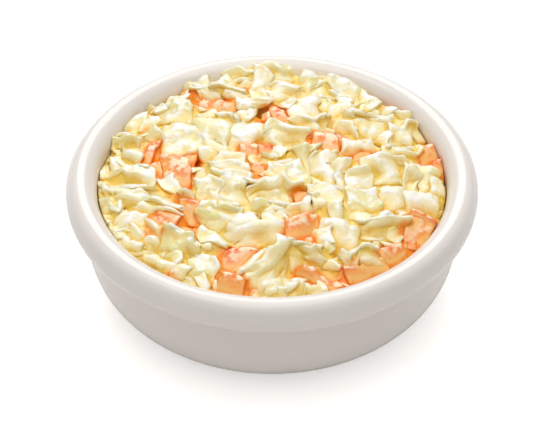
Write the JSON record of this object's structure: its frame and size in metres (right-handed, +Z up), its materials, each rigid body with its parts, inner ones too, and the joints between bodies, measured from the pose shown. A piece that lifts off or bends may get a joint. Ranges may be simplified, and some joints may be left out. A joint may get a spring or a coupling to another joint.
{
  "type": "coleslaw in a bowl",
  "caption": "Small round white glazed bowl with a rolled rim, heaped with creamy coleslaw of chopped cabbage and carrot pieces.",
  "frame": {"origin": "on the floor under the middle of the bowl's foot", "axes": "+Z up along the bowl's axis; the pictured side faces -Y"},
  "size_m": [0.11, 0.11, 0.043],
  "materials": {
    "glaze": "smooth gloss glaze, warm white",
    "slaw": "wet, creamy dressed cabbage, cream to pale yellow-green, with orange carrot pieces"
  },
  "bodies": {
    "root": {"bowl": "glaze", "coleslaw": "slaw"}
  },
  "joints": []
}
